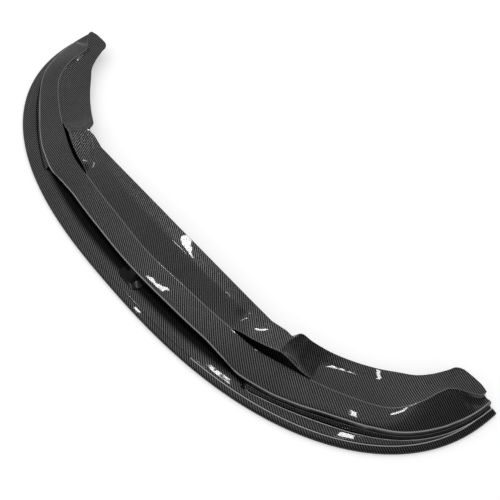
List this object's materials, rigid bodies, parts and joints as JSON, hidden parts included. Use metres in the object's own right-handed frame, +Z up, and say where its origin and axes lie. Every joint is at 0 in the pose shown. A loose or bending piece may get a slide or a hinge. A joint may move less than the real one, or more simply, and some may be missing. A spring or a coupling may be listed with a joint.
{
  "type": "front splitter lip",
  "caption": "Carbon-fibre front splitter lip: a thin blade under an upper moulding with a wide front slot, crescent duct mouths, dished side flanges and a small strut.",
  "frame": {"origin": "on the floor below the middle of the outline", "axes": "+X across the car, -Y the front of the car, +Z up"},
  "size_m": [1.704, 0.491, 0.086],
  "materials": {
    "carbon_upper": "twill carbon fibre under clear coat",
    "carbon_blade": "twill carbon fibre under clear coat",
    "gloss_black": "polished gloss black"
  },
  "bodies": {
    "root": {"upper_lip": "carbon_upper", "lower_splitter": "carbon_blade", "center_strut": "gloss_black"}
  },
  "joints": []
}
